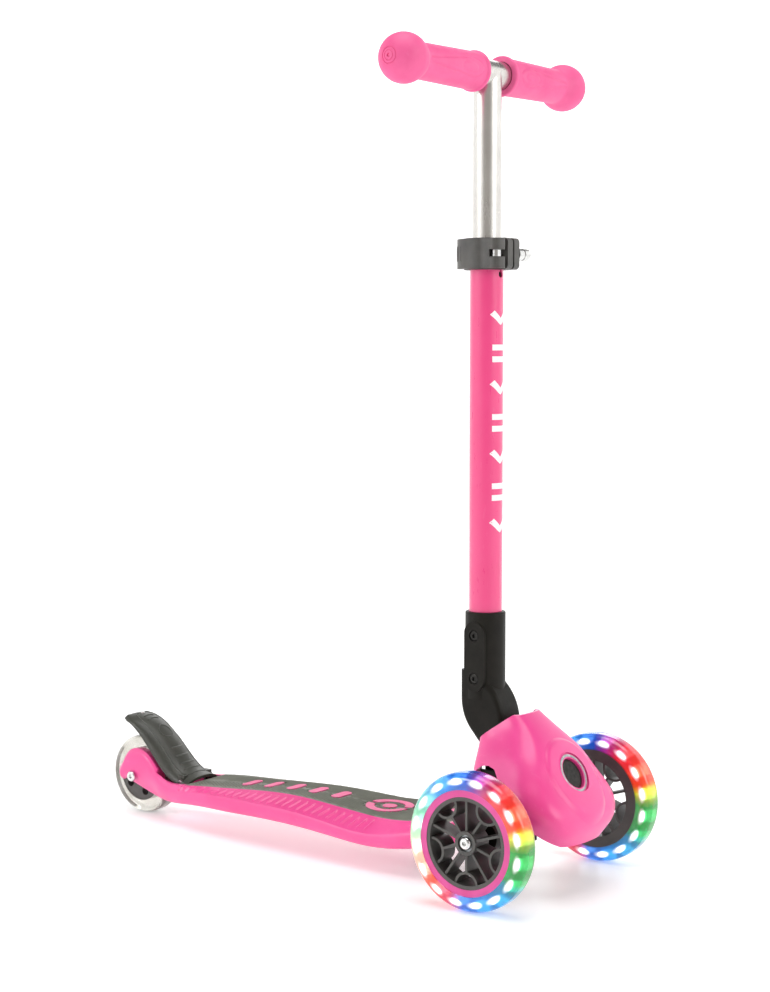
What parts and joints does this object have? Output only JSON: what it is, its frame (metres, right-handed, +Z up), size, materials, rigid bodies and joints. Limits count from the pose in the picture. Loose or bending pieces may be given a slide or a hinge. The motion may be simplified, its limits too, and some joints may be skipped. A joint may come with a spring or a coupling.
{
  "type": "kick scooter",
  "caption": "Child's folding kick scooter with lighted front wheels, lean-to-steer truck, folding stem, height-adjustable handlebar and rear foot brake.",
  "frame": {"origin": "on the floor, under the middle of the scooter's overall length and width", "axes": "+X forward, +Y to the rider's left, +Z up; the stem stands along Z and the axles run along Y"},
  "size_m": [0.5778, 0.297, 0.745],
  "materials": {
    "pink_deck": "moulded hot pink nylon, satin",
    "pink_paint": "hot pink powder coat",
    "pink_soft": "pink soft rubber",
    "pink_ring": "pink core ring",
    "grey_mat": "warm grey rubber mat",
    "black_nylon": "black glass-filled nylon",
    "grey_plastic": "dark grey nylon",
    "clear_tyre": "clear cast polyurethane",
    "lamp": "white lamp capsules",
    "silver_tube": "satin anodised aluminium",
    "zinc": "zinc plated steel",
    "bright_steel": "chromed",
    "dark_steel": "black oxide"
  },
  "bodies": {
    "deck": {"deck_frame": "pink_deck", "foot_pad": "grey_mat", "pad_inlays": "pink_soft", "front_chassis": "black_nylon", "chassis_screws": "zinc", "front_cover": "pink_deck", "cover_screws": "zinc", "button_ring": "bright_steel", "spring_seat": "zinc", "button_spring": "zinc", "fold_pivot_pin": "zinc", "fold_pin_clip": "zinc", "hook_pin": "zinc", "king_bolt": "zinc", "king_nut": "zinc", "steering_blocks": "grey_mat", "rear_axle_bolt": "bright_steel", "rear_axle_nut": "bright_steel", "rear_axle_spacers": "zinc", "brake_pin": "zinc", "brake_spring": "zinc"},
    "truck": {"truck_beam": "black_nylon", "front_axle_bolt_left": "bright_steel", "front_axle_bolt_right": "bright_steel", "magnet_sleeve_left": "zinc", "magnet_sleeve_right": "zinc"},
    "wheel_left": {"front_tyre_left": "clear_tyre", "led_modules_left": "lamp", "rim_ring_left": "pink_ring", "front_hub_left": "grey_plastic", "front_bearings_left": "zinc"},
    "wheel_right": {"front_tyre_right": "clear_tyre", "led_modules_right": "lamp", "rim_ring_right": "pink_ring", "front_hub_right": "grey_plastic", "front_bearings_right": "zinc"},
    "wheel_rear": {"rear_tyre": "clear_tyre", "rear_hub": "grey_plastic", "rear_bearings": "zinc"},
    "button": {"release_button": "black_nylon"},
    "hook": {"latch_hook": "black_nylon"},
    "stem": {"stem_knuckle": "black_nylon", "knuckle_screws": "dark_steel", "post_tube": "pink_paint", "post_bush": "black_nylon", "clamp_collar": "grey_plastic", "clamp_bolt": "bright_steel", "lever_pin": "zinc", "clamp_washer": "dark_steel", "clamp_nut": "bright_steel"},
    "lever": {"clamp_lever": "grey_plastic"},
    "handlebar": {"riser_tube": "silver_tube", "cross_tube": "silver_tube", "riser_foot": "black_nylon", "grip_left": "pink_soft", "grip_right": "pink_soft"},
    "brake": {"rear_brake": "grey_mat", "brake_shoe": "zinc", "brake_rivet": "bright_steel"}
  },
  "joints": [
    {"name": "lean_to_steer", "type": "hinge", "parent": "deck", "child": "truck", "pos_m": [0.21445, 0, 0.056], "axis": [0.7071, 0, 0.7071], "range_deg": [-12, 12], "stiffness_Nm_per_rad": 80, "deforming": ["steering_blocks"]},
    {"name": "front_left_spin", "type": "hinge", "parent": "truck", "child": "wheel_left", "pos_m": [0.22845, 0.1061, 0.0605], "axis": [0, 1, 0], "continuous": true},
    {"name": "front_right_spin", "type": "hinge", "parent": "truck", "child": "wheel_right", "pos_m": [0.22845, -0.1061, 0.0605], "axis": [0, 1, 0], "continuous": true},
    {"name": "rear_spin", "type": "hinge", "parent": "deck", "child": "wheel_rear", "pos_m": [-0.24895, 0, 0.04], "axis": [0, 1, 0], "continuous": true},
    {"name": "release_press", "type": "slide", "parent": "deck", "child": "button", "axis": [-0.8704, 0, -0.4924], "range_m": [0, 0.004], "stiffness_N_per_m": 700, "springref_m": -0.004, "deforming": ["button_spring"]},
    {"name": "hook_swing", "type": "hinge", "parent": "deck", "child": "hook", "pos_m": [0.23645, 0, 0.104], "axis": [0, 1, 0], "range_deg": [0, 18.2]},
    {"name": "stem_fold", "type": "hinge", "parent": "deck", "child": "stem", "pos_m": [0.20845, 0, 0.112], "axis": [0, -1, 0], "range_deg": [0, 82]},
    {"name": "clamp_lever_swing", "type": "hinge", "parent": "stem", "child": "lever", "pos_m": [0.19245, -0.0178, 0.564], "axis": [0, 0, 1], "range_deg": [0, 130]},
    {"name": "handlebar_height", "type": "slide", "parent": "stem", "child": "handlebar", "axis": [0, 0, 1], "range_m": [-0.1, 0]},
    {"name": "brake_press", "type": "hinge", "parent": "deck", "child": "brake", "pos_m": [-0.18355, 0, 0.0415], "axis": [0, -1, 0], "range_deg": [0, 2.6], "stiffness_Nm_per_rad": 8, "springref_deg": -2.86, "deforming": ["brake_spring"]}
  ],
  "couplings": [
    {"joint": "hook_swing", "follows": "release_press", "rad_per_m": 78.54}
  ]
}
